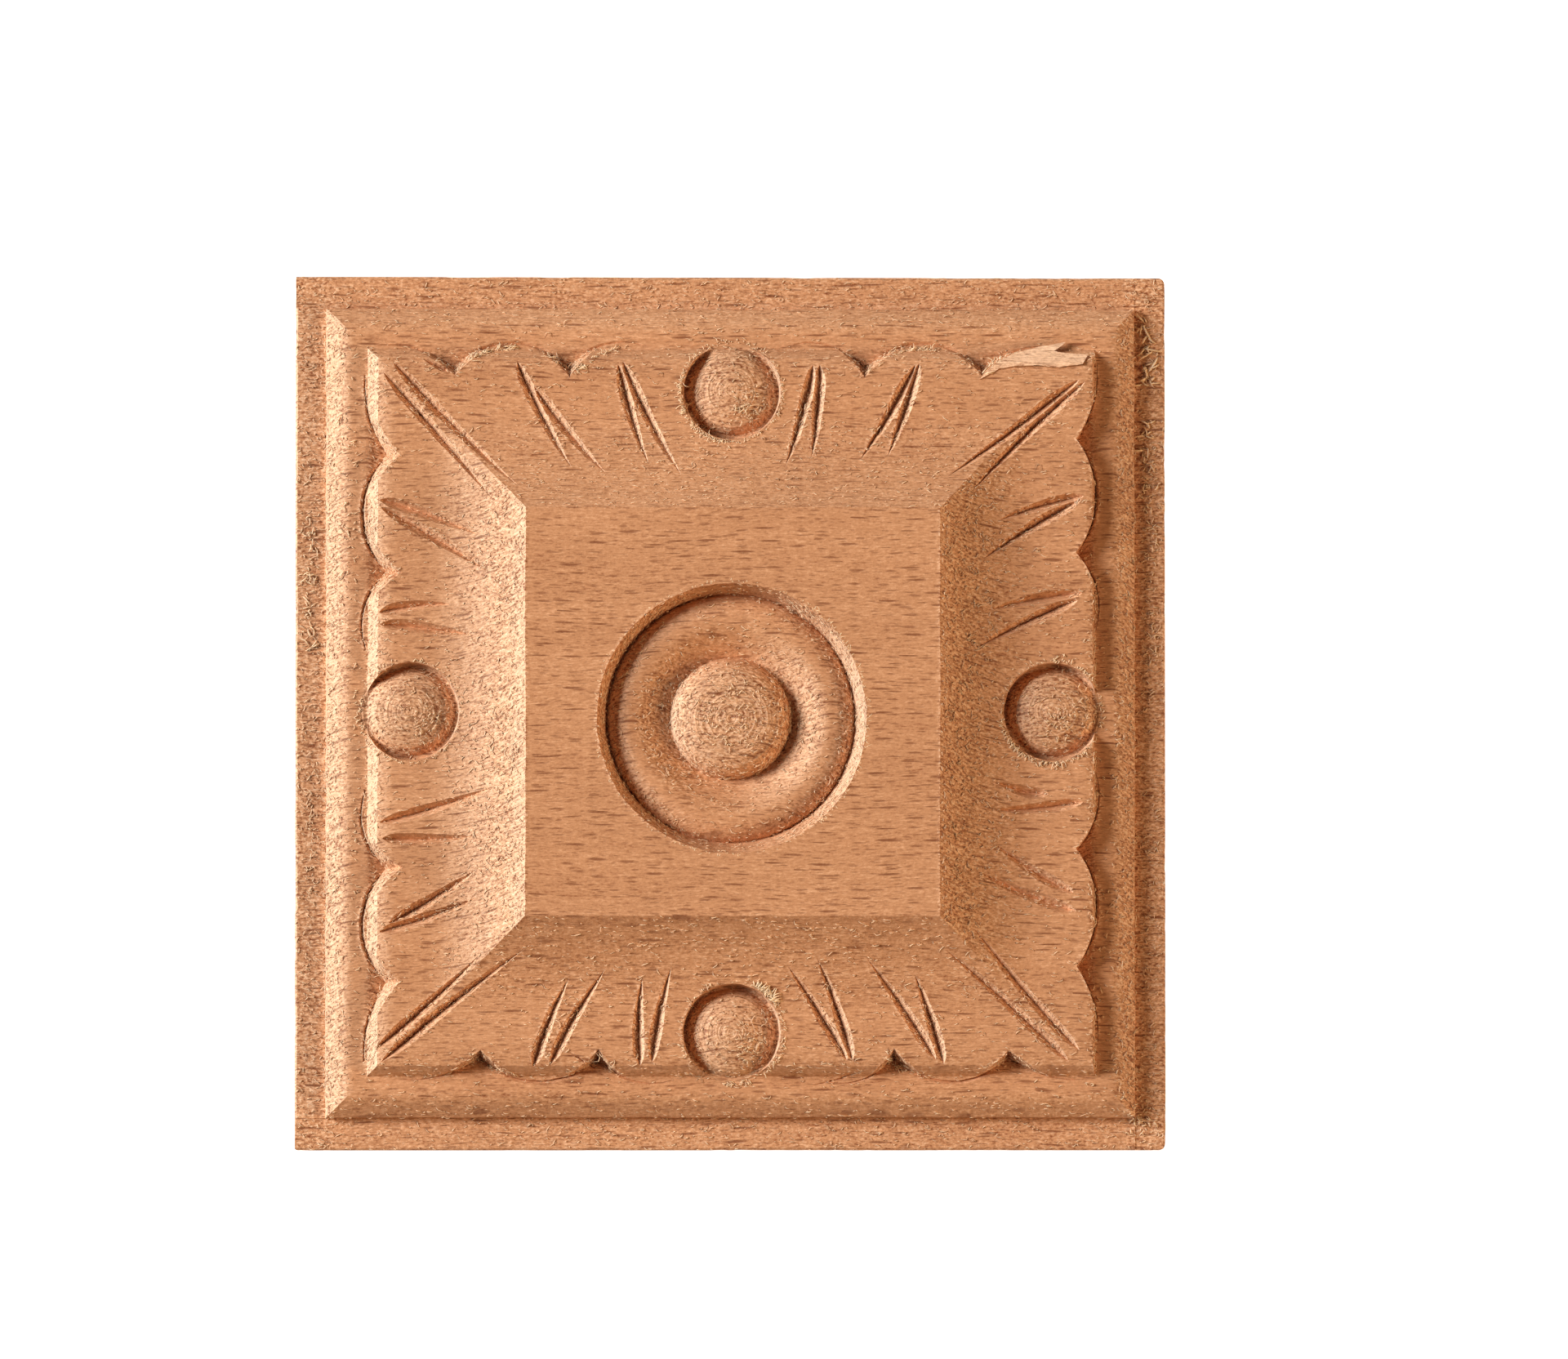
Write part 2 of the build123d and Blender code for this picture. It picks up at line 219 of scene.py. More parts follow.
def carvedMesh(node):
    points, triangles, normals = readCad(node)
    corner = points[triangles]
    up = np.cross(corner[:, 1] - corner[:, 0], corner[:, 2] - corner[:, 0])
    length = np.linalg.norm(up, axis=1)
    up = up / np.maximum(length, 1e-12)[:, None]
    upward = (up[:, 2] > 0.01) & (length > 1e-9)
    inner, rim = sharpEdges(triangles, normals, upward)
    tree = rayTree(points, triangles)
    print("carved edges", len(inner), "rim edges", len(rim))

    # points along the edges keep the CAD's own place and height
    index, places, edges = {}, [], []

    def pointIndex(p):
        if p not in index:
            index[p] = len(places)
            places.append(points[p])
        return index[p]

    for p, q in inner + rim:
        a, b = points[p], points[q]
        run = math.hypot(*(b - a)[:2])
        if run < 1e-4:
            continue
        parts = max(1, math.ceil(run / surface["edgeStep"]))
        chain = [pointIndex(p)]
        for k in range(1, parts):
            chain.append(len(places))
            places.append(a + (b - a) * k / parts)
        chain.append(pointIndex(q))
        edges += list(zip(chain, chain[1:]))
    # cracks: a sunk line between two level ones
    for line, width, depth in surface["cracks"]:
        route = np.array(line, float)
        runs = [route[:1]]
        for a, b in zip(route, route[1:]):
            parts = max(1, math.ceil(math.hypot(*(b - a)) / surface["crackStep"]))
            runs.append(a + (b - a) * (np.arange(1, parts + 1) / parts)[:, None])
        route = np.concatenate(runs)
        turn = np.gradient(route, axis=0)
        turn /= np.linalg.norm(turn, axis=1)[:, None]
        beside = np.column_stack([-turn[:, 1], turn[:, 0]])
        share = np.sin(np.linspace(0, math.pi, len(route)))
        ragged = 1 + 0.35 * smoothNoise(np.column_stack([route, route[:, 0] * 0]), 0.6, 61)
        for side in (-1, 0, 1):
            spots = route + beside * (side * width / 2 * (0.25 + 0.75 * share) * ragged)[:, None]
            level, found = heightsAt(tree, points, triangles, normals, spots)
            if side == 0:
                level = level - depth * share * ragged
            start = len(places)
            places += [np.array([x, y, z]) for (x, y), z in zip(spots, level)]
            edges += [(start + k, start + k + 1) for k in range(len(spots) - 1)]
    fixed = np.array(places)

    # points between the edges, on a jittered grid
    step = surface["spacing"]
    halfX, halfY = surface["half"]
    xs = np.arange(-halfX, halfX + 0.01, step)
    ys = np.arange(-halfY, halfY + 0.01, step * surface["rowShare"])
    gx, gy = np.meshgrid(xs, ys)
    gx = gx + (np.arange(len(ys)) % 2)[:, None] * step / 2
    grid = np.stack([gx.ravel(), gy.ravel()], 1)
    grid += rng.uniform(-surface["jitter"], surface["jitter"], grid.shape) * step
    low, high = fixed[:, :2].min(0) + surface["margin"], fixed[:, :2].max(0) - surface["margin"]
    grid = grid[((grid > low) & (grid < high)).all(1)]
    crowded = set()
    cell = surface["clearOfEdge"]
    dense = [fixed[:, :2]]
    for p, q in edges:
        a, b = fixed[p, :2], fixed[q, :2]
        parts = int(math.hypot(*(b - a)) / surface["probeStep"])
        if parts > 1:
            dense.append(a + (b - a) * (np.arange(1, parts) / parts)[:, None])
    dense = np.concatenate(dense)
    for cx, cy in np.unique(np.floor(dense / cell).astype(int), axis=0):
        crowded.update((cx + i, cy + j) for i in (-1, 0, 1) for j in (-1, 0, 1))
    buckets = {}
    for k, key in enumerate(map(tuple, np.floor(dense / cell).astype(int))):
        buckets.setdefault(key, []).append(k)
    keep = np.ones(len(grid), bool)
    for k, (cx, cy) in enumerate(np.floor(grid / cell).astype(int)):
        if (cx, cy) in crowded:
            near = [n for i in (-1, 0, 1) for j in (-1, 0, 1) for n in buckets.get((cx + i, cy + j), ())]
            keep[k] = ((dense[near] - grid[k]) ** 2).sum(1).min() > cell * cell
    grid = grid[keep]
    gz, ok = heightsAt(tree, points, triangles, normals, grid)
    grid, gz = grid[ok], gz[ok]
    print("edge points", len(fixed), "free points", len(grid))

    flat = [Vector(p) for p in fixed[:, :2]] + [Vector(p) for p in grid]
    known = np.concatenate([fixed[:, 2], gz])
    made, _, faces, origin, _, _ = delaunay_2d_cdt(flat, edges, [], 1, 1e-5)
    xy = np.array([tuple(p) for p in made])
    z = np.array([known[o[0]] if o else np.nan for o in origin])
    unknown = np.isnan(z)
    if unknown.any():
        z[unknown], _ = heightsAt(tree, points, triangles, normals, xy[unknown])
    front = np.column_stack([xy, z])
    faces = np.array([tuple(f) for f in faces])
    a, b, c = front[faces[:, 0]], front[faces[:, 1]], front[faces[:, 2]]
    turned = np.cross(b - a, c - a)[:, 2] < 0
    faces[turned] = faces[turned][:, ::-1]
    return front, faces


def openEdges(triangles):
    # edges that only one triangle has, in the direction it runs them
    seen = {}
    for a, b, c in triangles:
        for edge in ((a, b), (b, c), (c, a)):
            seen[edge] = True
    return [(p, q) for p, q in seen if (q, p) not in seen]


def closeBlock(front, faces):
    # sides down to the back and the back itself, sharing the rim's points
    following = dict(openEdges(faces))
    start = next(iter(following))
    loop = [start]
    while following[loop[-1]] != start:
        loop.append(following[loop[-1]])
    rows = surface["sideRows"]
    vertices = [front]
    ring = np.array(loop)
    total = len(front)
    added = []
    for row in range(1, rows + 1):
        level = front[ring].copy()
        level[:, 2] *= 1 - row / rows
        vertices.append(level)
        added.append(np.arange(total, total + len(ring)))
        total += len(ring)
    rings = [ring] + added
    sides = []
    for upper, lower in zip(rings, rings[1:]):
        u2, l2 = np.roll(upper, -1), np.roll(lower, -1)
        sides.append(np.stack([upper, lower, u2], 1))
        sides.append(np.stack([u2, lower, l2], 1))
    base = rings[-1]
    outline = [Vector((p[0], p[1])) for p in vertices[-1][:, :2]]
    links = [(i, (i + 1) % len(base)) for i in range(len(base))]
    _, _, back, origin, _, _ = delaunay_2d_cdt(outline, links, [], 1, 1e-7)
    own = np.array([o[0] for o in origin])
    back = np.array([tuple(f) for f in back])
    back = base[own[back]]
    everything = np.concatenate(vertices)
    a, b, c = (everything[back[:, i]] for i in range(3))
    wrong = np.cross(b - a, c - a)[:, 2] > 0
    back[wrong] = back[wrong][:, ::-1]
    return everything, np.concatenate([faces] + sides + [back])


def vertexNormals(points, triangles):
    a, b, c = (points[triangles[:, i]] for i in range(3))
    across = np.cross(b - a, c - a)
    normals = np.zeros_like(points)
    for i in range(3):
        np.add.at(normals, triangles[:, i], across)
    return normals / np.maximum(np.linalg.norm(normals, axis=1), 1e-9)[:, None]


def edgeCalm(points, triangles, normals):
    # 1 on smooth ground and little on sharp edges, which stay where the CAD has them
    a, b, c = (points[triangles[:, i]] for i in range(3))
    facing = np.cross(b - a, c - a)
    facing /= np.maximum(np.linalg.norm(facing, axis=1), 1e-9)[:, None]
    worst = np.ones(len(points))
    for i in range(3):
        np.minimum.at(worst, triangles[:, i], (facing * normals[triangles[:, i]]).sum(1))
    flatFrom, over, least = surface["calm"]
    return np.clip((worst - flatFrom) / over, least, 1)


# how torn the grain is, from 0 to 1
torn = {
    "borderEnds": 0.75,     # left and right border strips
    "borderSides": 0.4,     # top and bottom border strips
    "borderFrom": (35.6, 36.6),  # mm from the middle to the strips, in X and in Y
    "borderRise": 1.2,      # growth per mm past that
    "byTilt": (1.9, 1.6),   # growth with the tilt of a face in X and in Y
    "cleanTilt": 0.1,       # growth that still counts as clean
    "slopes": 0.2,          # most on slopes that run with the grain
    "onRounds": 0.62,
    "roundRise": 0.6,       # mm over which it grows on a round
    # rounds: middle and radius in mm
    "rounds": ((-0.1, -0.7, 5.5), (0, 29.4, 4.1), (0, -29.4, 4.1), (29.4, 0, 4.1), (-29.4, 0, 4.1)),
    "turnedTo": 4.6,        # mm from the middle of a round where the cutter's rings end
    "relief": (0.035, 0.012),  # mm the surface itself goes up and down where torn, elsewhere
}


def tornAmount(points, normals):
    # 0 for clean side grain, 1 for end grain and scraped rounds, where the fibres stand up
    endTilt, sideTilt = (np.abs(normals[:, i]) * torn["byTilt"][i] - torn["cleanTilt"] for i in (0, 1))
    endGrain, slopes = np.clip(endTilt, 0, 1), np.clip(sideTilt, 0, torn["slopes"])
    past = (np.abs(points[:, :2]) - torn["borderFrom"]) * torn["borderRise"]
    ends, strips = (np.clip(past, 0, 1) * (torn["borderEnds"], torn["borderSides"])).T
    amount = np.maximum(np.maximum(endGrain, ends), np.maximum(strips, slopes))
    for x, y, radius in torn["rounds"]:
        away = np.hypot(points[:, 0] - x, points[:, 1] - y)
        amount = np.maximum(amount, torn["onRounds"] * np.clip((radius - away) / torn["roundRise"], 0, 1))
    return amount


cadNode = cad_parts["rosette_block"]
front, faces = carvedMesh(cadNode)
frontCount, frontFaces = len(front), faces
print("front", frontCount, "points", len(faces), "faces")
vertices, faces = closeBlock(front, faces)
inside = np.array([list(cadBox[0]), list(cadBox[1])]) / mm
skin = vertexNormals(vertices, faces)
tornAt = tornAmount(vertices, skin)
turnAt = np.full(len(vertices), torn["turnedTo"])
for x, y, radius in torn["rounds"]:
    turnAt = np.minimum(turnAt, np.hypot(vertices[:, 0] - x, vertices[:, 1] - y))
short, long = surface["wobble"]
for axis in (0, 1):
    shift = short * smoothNoise(vertices, (0.7, 0.45, 1.2), 3 + axis)
    shift += long * smoothNoise(vertices, (4.0, 2.5, 5.0), 7 + axis)
    vertices[:, axis] += shift
rough = smoothNoise(vertices, (0.75, 0.6, 0.7), 21) + 0.6 * smoothNoise(vertices, (1.7, 0.8, 1.4), 22)
mostRelief, leastRelief = torn["relief"]
lift = rough * (leastRelief + (mostRelief - leastRelief) * tornAt)
lift *= edgeCalm(vertices, faces, skin)
vertices[:frontCount] += (skin * lift[:, None])[:frontCount]
vertices[:frontCount, 2] = np.minimum(vertices[:frontCount, 2], inside[1][2] - surface["skinDrop"])
vertices = np.clip(vertices, inside[0], inside[1])


def srgb(*values):
    # linear colour from values of 0 to 255
    out = []
    for v in values:
        v = v / 255
        out.append(v / 12.92 if v <= 0.04045 else ((v + 0.055) / 1.055) ** 2.4)
    return (*out, 1.0)


class Nodes:
    # short ways to add and join shader nodes
    def __init__(self, tree):
        self.tree = tree

    def add(self, kind, inputs=None, **settings):
        node = self.tree.nodes.new(kind)
        for key, value in settings.items():
            setattr(node, key, value)
        for key, value in (inputs or {}).items():
            socket = node.inputs[key]
            if isinstance(value, bpy.types.NodeSocket):
                self.tree.links.new(value, socket)
            else:
                socket.default_value = value
        return node

    def math(self, operation, *values):
        return self.add("ShaderNodeMath", dict(enumerate(values)), operation=operation).outputs[0]

    def vector(self, operation, inputs):
        return self.add("ShaderNodeVectorMath", inputs, operation=operation).outputs[0]

    def combine(self, x, y, z):
        return self.add("ShaderNodeCombineXYZ", {0: x, 1: y, 2: z}).outputs[0]

    def noise(self, vector, detail=3.0, rough=0.55):
        inputs = {"Vector": vector, "Scale": 1.0, "Detail": detail, "Roughness": rough}
        return self.add("ShaderNodeTexNoise", inputs).outputs["Fac"]

    def between(self, value, low, high, toLow=0.0, toHigh=1.0):
        inputs = {"Value": value, "From Min": low, "From Max": high, "To Min": toLow, "To Max": toHigh}
        return self.add("ShaderNodeMapRange", inputs).outputs["Result"]

    def mix(self, factor, a, b):
        # sockets 6, 7 and 2 are the colour ones
        return self.add("ShaderNodeMix", {0: factor, 6: a, 7: b}, data_type="RGBA").outputs[2]


def newSocket(group, name, kind, value=None, output=False):
    way = "OUTPUT" if output else "INPUT"
    made = group.interface.new_socket(name=name, in_out=way, socket_type=kind)
    if value is not None:
        made.default_value = value
    return made


# raw beech
wood = {
    "wood": srgb(205, 148, 107),
    "pale": srgb(226, 178, 140),
    "deep": srgb(158, 81, 39),
    "sheen": srgb(245, 219, 192),     # painted sheen: near-white for steep end grain facing -X, the lamp side; also the pale tips of torn tufts
    "ray": srgb(122, 62, 30),
    "rayAmount": 0.8,
    "streaks": 0.8,
    "roughness": 0.5,
    "specular": 0.37,
    "relief": 0.09,                 # mm of fibre relief
}
# its grain; noise is given as scales per mm along, across and outward, detail and roughness
beech = {
    "lean": 30,             # degrees the layers lean
    "drift": 2.2,           # mm the grain wanders
    # rays: cell length and width, half length and width of a dash in mm, share of cells, shift, strength
    "rays": (
        (2.6, 0.9, 1.15, 0.1, 0.55, 0.0, 1.0),
        (1.7, 0.55, 0.7, 0.07, 0.5, 31.7, 0.8),
        (1.0, 0.34, 0.45, 0.05, 0.5, 77.1, 0.5),
    ),
    "fine": ((0.5, 5.5, 2.0), 4.0, 0.65),
    "pores": ((1.5, 11.0, 5.0), 2.0, 0.55),
    "ragged": ((2.6, 4.6, 1.5), 3.0, 0.7),
    "grit": ((3.0, 6.5, 4.5), 2.0, 0.6),
    "bands": ((0.02, 0.1, 0.9), 3.0, 0.6),
    "cloud": ((0.05, 0.12, 0.12), 2.0, 0.55),
    "ringScale": 2.6,       # cutter's rings per mm on the rounds
}


def beechGroup():
    # beech seen from any side: grain along X, rays as thin upright leaves that lean
    group = bpy.data.node_groups.new("beechGrain", "ShaderNodeTree")
    for name in ("Wood", "Pale", "Deep", "Sheen", "Ray"):
        newSocket(group, name, "NodeSocketColor", wood[name.lower()])
    for name, value in (("Ray Amount", 0.8), ("Streaks", 0.5), ("Torn", 0.0), ("Turn Radius", 0.0)):
        newSocket(group, name, "NodeSocketFloat", value)
    newSocket(group, "Color", "NodeSocketColor", output=True)
    newSocket(group, "Height", "NodeSocketFloat", output=True)
    n = Nodes(group)
    given = n.add("NodeGroupInput").outputs
    place = n.add("ShaderNodeTexCoord").outputs["Object"]
    place = n.vector("MULTIPLY", {0: place, 1: (1 / mm, 1 / mm, 1 / mm)})
    split = n.add("ShaderNodeSeparateXYZ", {0: place}).outputs
    along = split["X"]
    lean = math.radians(beech["lean"])
    cosine, sine = math.cos(lean), math.sin(lean)
    across = n.math("SUBTRACT", n.math("MULTIPLY", split["Y"], cosine), n.math("MULTIPLY", split["Z"], sine))
    outward = n.math("ADD", n.math("MULTIPLY", split["Y"], sine), n.math("MULTIPLY", split["Z"], cosine))
    normal = n.add("ShaderNodeNewGeometry").outputs["True Normal"]
    facing = n.add("ShaderNodeSeparateXYZ", {0: normal}).outputs

    def grid(sideways, scales):
        ways = zip((along, sideways, outward), scales)
        return n.combine(*(n.math("MULTIPLY", way, scale) for way, scale in ways))

    def byTorn(clean, full):
        return n.between(given["Torn"], 0, 1, clean, full)

    def plus(total, value, share):
        return n.math("ADD", total, n.math("MULTIPLY", value, share))

    # slow drift bends the grain a little
    drift = n.noise(grid(across, (0.03, 0.09, 0.05)), 2.0)
    drift = n.math("MULTIPLY", n.math("SUBTRACT", drift, 0.5), beech["drift"])
    bent = n.math("ADD", across, drift)

    # rays: one dash in about half the cells of a stretched Voronoi pattern
    rays = None
    for cellLong, cellWide, halfLong, halfWide, share, seed, strength in beech["rays"]:
        u = n.math("DIVIDE", n.math("ADD", along, seed), cellLong)
        v = n.math("DIVIDE", n.math("ADD", bent, seed), cellWide)
        spot = n.combine(u, v, 0.0)
        inputs = {"Vector": spot, "Scale": 1.0, "Randomness": 0.9}
        cells = n.add("ShaderNodeTexVoronoi", inputs, voronoi_dimensions="2D")
        away = n.vector("SUBTRACT", {0: spot, 1: cells.outputs["Position"]})
        away = n.add("ShaderNodeSeparateXYZ", {0: away}).outputs
        chance = n.add("ShaderNodeSeparateColor", {0: cells.outputs["Color"]}).outputs
        reach = n.math("MULTIPLY", n.between(chance[1], 0, 1, 0.35, 1.15), halfLong / cellLong)
        thick = n.math("MULTIPLY", n.between(chance[2], 0, 1, 0.5, 1.2), halfWide / cellWide)
        du = n.math("POWER", n.math("ABSOLUTE", n.math("DIVIDE", away["X"], reach)), 2.0)
        dv = n.math("POWER", n.math("ABSOLUTE", n.math("DIVIDE", away["Y"], thick)), 2.0)
        dash = n.between(n.math("ADD", du, dv), 0.25, 1.15, 1.0, 0.0)
        dash = n.math("MULTIPLY", dash, n.math("LESS_THAN", chance[0], share))
        dash = n.math("MULTIPLY", dash, n.between(chance[1], 0, 1, 0.55 * strength, strength))
        rays = dash if rays is None else n.math("MAXIMUM", rays, dash)
    rays = n.math("MULTIPLY", rays, n.between(facing["Z"], 0.5, 0.95, 0.4, 1.0))

    # fibre streaks, pores, ragged tufts, growth bands and the cutter's rings
    layers = ("fine", "pores", "ragged", "grit", "bands", "cloud")
    fine, pores, ragged, grit, bands, cloud = (
        n.noise(grid(bent, scales), detail, rough) for scales, detail, rough in map(beech.get, layers)
    )
    rings = n.noise(n.combine(n.math("MULTIPLY", given["Turn Radius"], beech["ringScale"]), 0.0, 0.0), 2.0)
    rings = n.between(rings, 0.35, 0.65, -1.0, 1.0)
    tufts = n.between(ragged, 0.36, 0.62, -1.0, 1.0)
    streak = n.math("MULTIPLY", n.between(fine, 0.3, 0.7, -1.0, 1.0), byTorn(1.05, 0.8))
    streak = n.math("ADD", streak, n.between(pores, 0.35, 0.65, -0.75, 0.75))
    streak = plus(streak, n.between(grit, 0.34, 0.66, -1.0, 1.0), byTorn(0.7, 2.1))
    streak = plus(streak, tufts, byTorn(0.25, 2.1))
    streak = n.math("ADD", streak, rings)
    tone = n.math("MULTIPLY", streak, given["Streaks"])
    tone = plus(tone, n.between(bands, 0.3, 0.7, -1.0, 1.0), 0.35)
    tone = plus(tone, n.between(cloud, 0.3, 0.7, -1.0, 1.0), 0.25)

    # torn grain and rounds are paler; fibres cut across that face -X, towards the key lamp, get a painted
    # highlight, paler and near-white where steep
    turnedTo = torn["turnedTo"]
    color = n.vector("SCALE", {0: given["Wood"], 3: byTorn(1.0, 1.06)})
    color = n.mix(n.between(given["Turn Radius"], turnedTo - 0.6, turnedTo, 0.4, 0.0), color, given["Pale"])
    # painted highlight on the lamp side: faces towards -X turn pale, steep ones near-white
    color = n.mix(n.between(facing["X"], -0.8, 0.0, 1.0, 0.0), color, given["Pale"])
    color = n.mix(n.between(facing["X"], -0.95, -0.6, 0.75, 0.0), color, given["Sheen"])
    color = n.mix(n.between(tone, -0.4, -2.3, 0.0, 0.85), color, given["Deep"])
    color = n.mix(n.between(tone, 0.3, 2.2, 0.0, 0.75), color, given["Pale"])
    tips = n.math("MULTIPLY", n.between(tufts, 0.3, 1.0, 0.0, 0.42), given["Torn"])
    color = n.mix(tips, color, given["Sheen"])
    lift = n.between(tone, -2.5, 2.5, 0.74, 1.3)
    # painted shade: faces that turn from up to upright or downward are darkened, down to 0.7
    lift = n.math("MULTIPLY", lift, n.between(facing["Z"], 0.0, 0.08, 0.7, 1.0))
    color = n.vector("SCALE", {0: color, 3: lift})
    color = n.mix(n.math("MULTIPLY", rays, given["Ray Amount"]), color, given["Ray"])
    height = n.math("ADD", n.math("MULTIPLY", fine, 0.6), n.math("MULTIPLY", pores, 0.5))
    height = plus(height, ragged, byTorn(0.3, 0.9))
    height = plus(height, grit, byTorn(0.4, 0.65))
    height = plus(height, rings, 0.5)
    height = n.math("SUBTRACT", height, n.math("MULTIPLY", rays, 0.35))
    n.add("NodeGroupOutput", {"Color": color, "Height": height})
    return group


def newMaterial(name):
    material = bpy.data.materials.new(name)
    material.use_nodes = True
    material.node_tree.nodes.clear()
    return material, Nodes(material.node_tree)


grainGroup = beechGroup()
print("grain", len(grainGroup.nodes), "nodes")


def woodMaterial(name, look):
    material, n = newMaterial(name)
    grain = n.add("ShaderNodeGroup", node_tree=grainGroup)
    for key in ("wood", "pale", "deep", "sheen", "ray"):
        grain.inputs[key.capitalize()].default_value = look[key]
    grain.inputs["Ray Amount"].default_value = look["rayAmount"]
    grain.inputs["Streaks"].default_value = look["streaks"]
    for key, socket in (("torn", "Torn"), ("turnRadius", "Turn Radius")):
        amount = n.add("ShaderNodeAttribute", attribute_name=key).outputs["Fac"]
        n.tree.links.new(amount, grain.inputs[socket])
    bump = n.add("ShaderNodeBump", {
        "Height": grain.outputs["Height"],
        "Strength": 1.0,
        "Distance": look["relief"] * mm,
    })
    shader = n.add("ShaderNodeBsdfPrincipled", {
        "Base Color": grain.outputs["Color"],
        "Roughness": look["roughness"],
        "Normal": bump.outputs["Normal"],
    })
    shader.inputs["Specular IOR Level"].default_value = look["specular"]
    n.add("ShaderNodeOutputMaterial", {"Surface": shader.outputs[0]})
    return material


# the block
blockMesh = fastMesh("carvedBlock", vertices, faces)
blockMesh.set_sharp_from_angle(angle=math.radians(surface["shadeSharp"]))
for key, amounts in (("torn", tornAt), ("turnRadius", turnAt)):
    blockMesh.attributes.new(key, "FLOAT", "POINT").data.foreach_set("value", amounts.astype(np.float32))
block = newObject("carvedBlock", blockMesh, woodMaterial("beechWood", wood))
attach(block, "root")
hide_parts("rosette_block")
print("block", len(blockMesh.vertices), "points", len(blockMesh.polygons), "faces")


# short fibres that stand up all over the front
fuzz = {
    "count": 16000,            # in all, those that reach out of the box included
    "seed": 5,
    "plainPerMm2": 0.9,        # how crowded they are on clean side grain
    "tornPerMm2": 4.2,         # and where the wood is torn
    "length": (0.18, 0.42, 1.1),   # mm, shortest, usual and longest
    "vary": 0.45,              # how much the length differs, as a share in powers of e
    "bend": 0.3,               # sideways, as a share of the length
    "thickness": (0.05, 0.105),    # mm
    "lift": 0.12,              # mm the middle of a usual fibre stands off
    "yaw": (16, 55),           # degrees off the grain, clean and torn
    # points along a fibre: share of its length, share of its height
    "arch": ((0.0, -0.35), (0.3, 0.75), (0.68, 1.0), (1.0, 0.35)),
    "look": {
        "wood": srgb(247, 208, 165),
        "pale": srgb(252, 226, 194),
        "deep": srgb(214, 160, 114),
        "rayAmount": 0.1,
        "streaks": 0.3,
        "relief": 0.01,
    },
}
frontMesh = vertices[:frontCount]
frontTree = rayTree(frontMesh, frontFaces)


def taperedMesh(paths, radii):
    # closed three-sided slivers, pointed at both ends; paths is fibres x stations x 3
    count, stations = paths.shape[:2]
    ahead = paths[:, -1] - paths[:, 0]
    ahead /= np.maximum(np.linalg.norm(ahead, axis=1), 1e-9)[:, None]
    upright = np.zeros_like(ahead)
    upright[:, 2] = 1
    upright[np.abs(ahead[:, 2]) > 0.9] = (0, 1, 0)
    sideways = np.cross(upright, ahead)
    sideways /= np.linalg.norm(sideways, axis=1)[:, None]
    upright = np.cross(ahead, sideways)
    rings = stations - 2
    points = np.zeros((count, 2 + rings * 3, 3))
    points[:, 0], points[:, -1] = paths[:, 0], paths[:, -1]
    for k in range(rings):
        for corner in range(3):
            turn = math.radians(90 + corner * 120)
            offset = sideways * math.cos(turn) + upright * math.sin(turn)
            points[:, 1 + k * 3 + corner] = paths[:, k + 1] + offset * radii[:, None]
    one = [(0, 1 + (c + 1) % 3, 1 + c) for c in range(3)]
    for k in range(rings - 1):
        for c in range(3):
            a, b = 1 + k * 3 + c, 1 + k * 3 + (c + 1) % 3
            one += [(a, b, a + 3), (b, b + 3, a + 3)]
    last = 1 + (rings - 1) * 3
    one += [(last + c, last + (c + 1) % 3, 1 + rings * 3) for c in range(3)]
    triangles = np.array(one)[None] + (np.arange(count) * (2 + rings * 3))[:, None, None]
    return points, triangles


def addFibres(name, paths, radii, material):
    # those that would reach out of the CAD box are left out
    inBox = ((paths > inside[0] + 0.01) & (paths < inside[1] - 0.004)).all(axis=(1, 2))
    points, triangles = taperedMesh(paths[inBox], radii[inBox])
    flat = np.clip(points.reshape(-1, 3), inside[0], inside[1])
    piece = newObject(name, fastMesh(name, flat, triangles.reshape(-1, 3)), material)
    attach(piece, "root")
    print(name, int(inBox.sum()), "fibres", len(triangles) * triangles.shape[1], "faces")


def scatterFibres(total, seed):
    # places on the carved front, crowded where it is torn
    own = np.random.default_rng(seed)
    a, b, c = (frontMesh[frontFaces[:, i]] for i in range(3))
    cross = np.cross(b - a, c - a)
    area = np.linalg.norm(cross, axis=1) / 2
    normal = cross / np.maximum(2 * area, 1e-9)[:, None]
    tornHere = tornAt[frontFaces].mean(1)
    patchy = smoothNoise((a + b + c) / 3, (3.0, 2.0, 3.0), 41)
    density = fuzz["plainPerMm2"] + (fuzz["tornPerMm2"] - fuzz["plainPerMm2"]) * tornHere
    density = density * (1 + 0.5 * patchy) * (normal[:, 2] > 0.12)
    weight = area * density
    chosen = own.choice(len(area), total, p=weight / weight.sum())
    r1, r2 = np.sqrt(own.random(total)), own.random(total)
    shareA, shareB, shareC = (share[:, None] for share in (1 - r1, r1 * (1 - r2), r1 * r2))
    spot = shareA * a[chosen] + shareB * b[chosen] + shareC * c[chosen]
    return own, spot, normal[chosen], tornHere[chosen], weight.sum()


